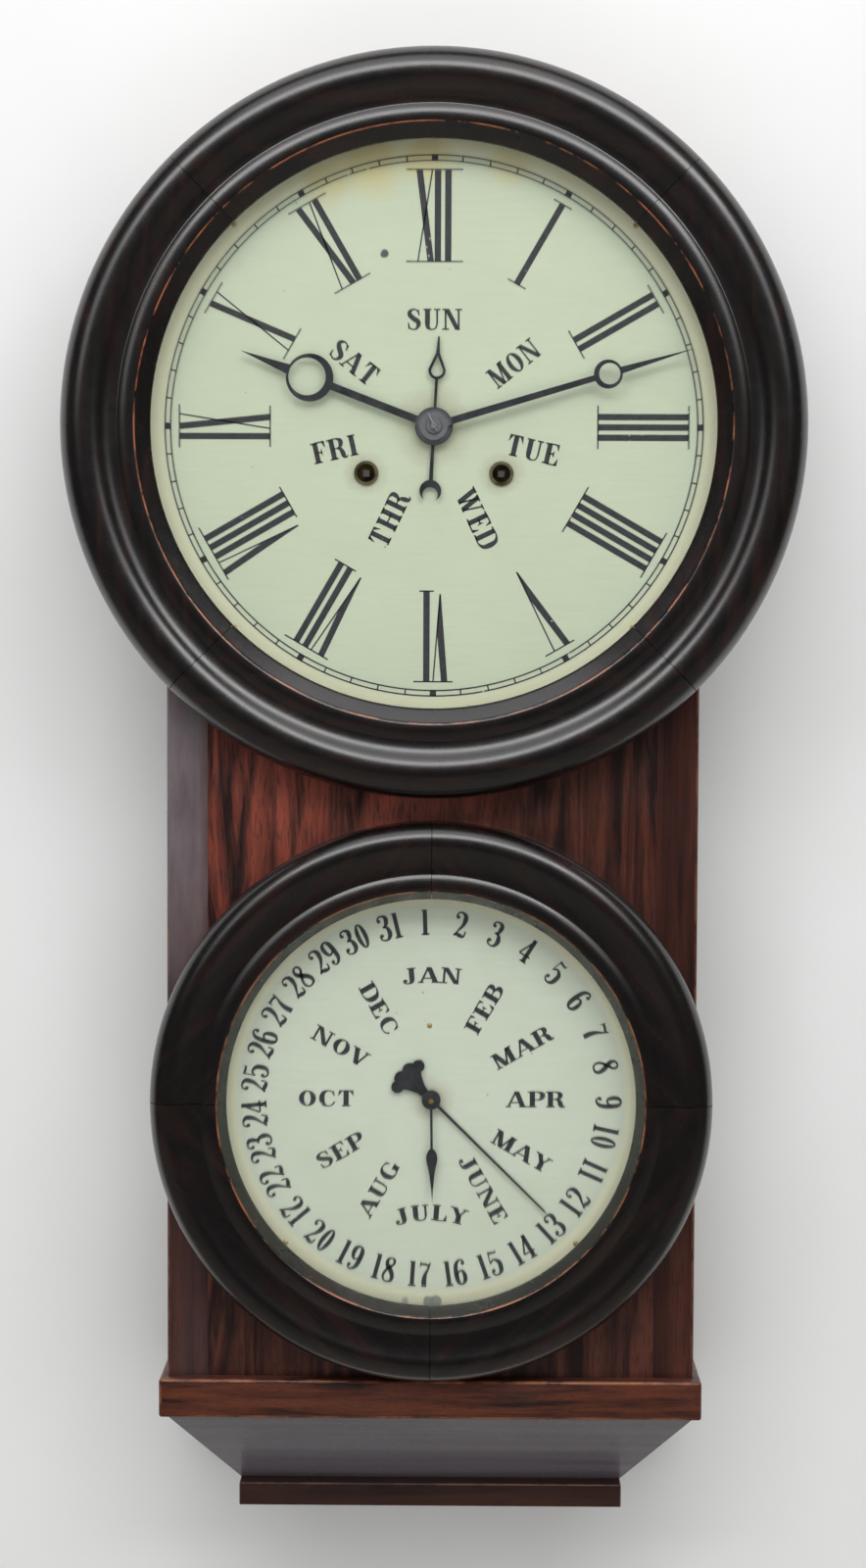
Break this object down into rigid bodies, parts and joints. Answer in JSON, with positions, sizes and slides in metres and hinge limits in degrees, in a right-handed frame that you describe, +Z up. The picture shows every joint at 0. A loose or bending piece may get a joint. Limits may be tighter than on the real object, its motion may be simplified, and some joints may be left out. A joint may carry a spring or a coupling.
{
  "type": "calendar wall clock",
  "caption": "Wall clock with a round time dial over a smaller round calendar dial, moulded dark wood bezels on hinges, a narrow veneered case and a sloping chin.",
  "frame": {"origin": "centre of the hanger hole, on the wall plane", "axes": "+Z up, the dials face -Y, +X to the right seen from the front, the wall is the plane y = 0"},
  "size_m": [0.4026, 0.1204, 0.8033],
  "materials": {
    "bezel_rosewood": "ebonised rosewood, glossy, worn arris",
    "panel_veneer": "reddish rosewood veneer, satin",
    "case_veneer": "dark rosewood veneer, satin",
    "pine": "bare softwood",
    "dial_paint": "pale green-cream paint, aged, matt",
    "hand_paint": "blue-black paint, satin",
    "brass": "aged brass",
    "grommet_metal": "dull brass",
    "steel": "plain steel",
    "spring_steel": "blued spring steel",
    "iron": "dark iron",
    "glass": "clear window glass",
    "bead_wood": "dark stained wood"
  },
  "bodies": {
    "case": {"back_board": "pine", "side_boards": "case_veneer", "top_board": "pine", "front_panel": "panel_veneer", "front_stiles": "case_veneer", "ledge_board": "case_veneer", "chin_boards": "case_veneer", "plinth_board": "case_veneer", "wall_hanger": "iron", "hanger_screws": "steel", "hinge_frame_leaves": "brass", "hinge_pins": "brass", "time_dial": "dial_paint", "calendar_dial": "dial_paint", "dial_pins": "brass", "winding_grommets": "grommet_metal", "movement_back_plate": "brass", "movement_front_plate": "brass", "movement_pillars": "steel", "movement_feet": "iron", "mainsprings": "spring_steel", "bell": "brass", "bell_post": "iron", "calendar_plate": "brass"},
    "time_door": {"time_bezel": "bezel_rosewood", "time_glass": "glass", "time_glazing_bead": "bead_wood", "time_hinge_leaves": "brass", "time_catch_peg": "brass"},
    "calendar_door": {"calendar_bezel": "bezel_rosewood", "calendar_glass": "glass", "calendar_glazing_bead": "bead_wood", "calendar_hinge_leaves": "brass", "calendar_catch_peg": "brass"},
    "minute_train": {"centre_arbor": "brass", "minute_hand": "hand_paint", "taper_pin": "steel"},
    "hour_train": {"hour_wheel": "brass", "hour_hand": "hand_paint"},
    "day_train": {"day_wheel": "brass", "day_hand": "hand_paint"},
    "date_train": {"date_wheel": "brass", "date_hand": "hand_paint"},
    "month_train": {"month_wheel": "brass", "month_hand": "hand_paint"},
    "time_great": {"time_great_wheel": "brass"},
    "third": {"third_wheel": "brass"},
    "escape": {"escape_wheel": "brass"},
    "anchor": {"pallets": "spring_steel"},
    "pendulum": {"pendulum_rod": "steel", "pendulum_bob": "brass"},
    "motion": {"minute_wheel": "brass"},
    "trip": {"trip_wheel": "brass"},
    "strike_great": {"strike_great_wheel": "brass"},
    "strike": {"strike_wheel": "brass"},
    "strike_fly": {"fly": "brass"},
    "striker": {"hammer": "iron"},
    "trip_arm": {"trip_lever": "steel"},
    "link": {"connecting_rod": "steel"},
    "date_arm": {"date_lever": "steel"}
  },
  "joints": [
    {"name": "time_door_hinge", "type": "hinge", "parent": "case", "child": "time_door", "pos_m": [0.1852, -0.0892, -0.16], "axis": [0, 0, 1], "range_deg": [0, 100]},
    {"name": "calendar_door_hinge", "type": "hinge", "parent": "case", "child": "calendar_door", "pos_m": [0.1488, -0.0892, -0.5277], "axis": [0, 0, 1], "range_deg": [0, 100]},
    {"name": "minute_spin", "type": "hinge", "parent": "case", "child": "minute_train", "pos_m": [0, -0.092, -0.16], "axis": [0, 1, 0], "continuous": true},
    {"name": "hour_spin", "type": "hinge", "parent": "case", "child": "hour_train", "pos_m": [0, -0.092, -0.16], "axis": [0, 1, 0], "continuous": true},
    {"name": "motion_spin", "type": "hinge", "parent": "case", "child": "motion", "pos_m": [0, -0.092, -0.14], "axis": [0, 1, 0], "continuous": true},
    {"name": "trip_spin", "type": "hinge", "parent": "case", "child": "trip", "pos_m": [0.01622, -0.092, -0.17136], "axis": [0, 1, 0], "continuous": true},
    {"name": "time_great_spin", "type": "hinge", "parent": "case", "child": "time_great", "pos_m": [0.0367, -0.092, -0.1852], "axis": [0, 1, 0], "continuous": true},
    {"name": "third_spin", "type": "hinge", "parent": "case", "child": "third", "pos_m": [0.01217, -0.092, -0.1339], "axis": [0, 1, 0], "continuous": true},
    {"name": "escape_spin", "type": "hinge", "parent": "case", "child": "escape", "pos_m": [0, -0.092, -0.1128], "axis": [0, 1, 0], "continuous": true},
    {"name": "strike_great_spin", "type": "hinge", "parent": "case", "child": "strike_great", "pos_m": [-0.0367, -0.092, -0.1852], "axis": [0, 1, 0], "continuous": true},
    {"name": "strike_spin", "type": "hinge", "parent": "case", "child": "strike", "pos_m": [-0.02593, -0.092, -0.142], "axis": [0, 1, 0], "continuous": true},
    {"name": "fly_spin", "type": "hinge", "parent": "case", "child": "strike_fly", "pos_m": [-0.02844, -0.092, -0.11331], "axis": [0, 1, 0], "continuous": true},
    {"name": "day_spin", "type": "hinge", "parent": "case", "child": "day_train", "pos_m": [0, -0.092, -0.16], "axis": [0, 1, 0], "continuous": true},
    {"name": "date_spin", "type": "hinge", "parent": "case", "child": "date_train", "pos_m": [0, -0.092, -0.5277], "axis": [0, 1, 0], "continuous": true},
    {"name": "month_spin", "type": "hinge", "parent": "case", "child": "month_train", "pos_m": [0, -0.092, -0.5277], "axis": [0, 1, 0], "continuous": true},
    {"name": "pendulum_swing", "type": "hinge", "parent": "case", "child": "pendulum", "pos_m": [0, -0.092, -0.0882], "axis": [0, 1, 0], "range_deg": [-3.5, 3.5]},
    {"name": "anchor_rock", "type": "hinge", "parent": "case", "child": "anchor", "pos_m": [0, -0.092, -0.0882], "axis": [0, 1, 0], "range_deg": [-3.5, 3.5]},
    {"name": "hammer_lift", "type": "hinge", "parent": "case", "child": "striker", "pos_m": [0, -0.092, -0.218], "axis": [0, -1, 0], "range_deg": [0, 20], "stiffness_Nm_per_rad": 0.02, "springref_deg": -11.46},
    {"name": "trip_lift", "type": "hinge", "parent": "case", "child": "trip_arm", "pos_m": [0.058, -0.092, -0.206], "axis": [0, -1, 0], "range_deg": [0, 8]},
    {"name": "link_lift", "type": "slide", "parent": "case", "child": "link", "axis": [0, 0, 1], "range_m": [0, 0.0023]},
    {"name": "date_lift", "type": "hinge", "parent": "case", "child": "date_arm", "pos_m": [0.056, -0.092, -0.4977], "axis": [0, -1, 0], "range_deg": [0, 7.2]}
  ],
  "couplings": [
    {"joint": "hour_spin", "follows": "minute_spin", "ratio": 0.083333},
    {"joint": "motion_spin", "follows": "minute_spin", "ratio": -0.33333},
    {"joint": "trip_spin", "follows": "minute_spin", "ratio": -0.041667},
    {"joint": "time_great_spin", "follows": "minute_spin", "ratio": -0.083333},
    {"joint": "third_spin", "follows": "minute_spin", "ratio": -9},
    {"joint": "escape_spin", "follows": "minute_spin", "ratio": 85.5},
    {"joint": "strike_spin", "follows": "strike_great_spin", "ratio": -12},
    {"joint": "fly_spin", "follows": "strike_great_spin", "ratio": 108},
    {"joint": "anchor_rock", "follows": "pendulum_swing", "ratio": 1},
    {"joint": "link_lift", "follows": "trip_lift", "m_per_rad": 0.016},
    {"joint": "date_lift", "follows": "trip_lift", "ratio": 0.88889}
  ]
}
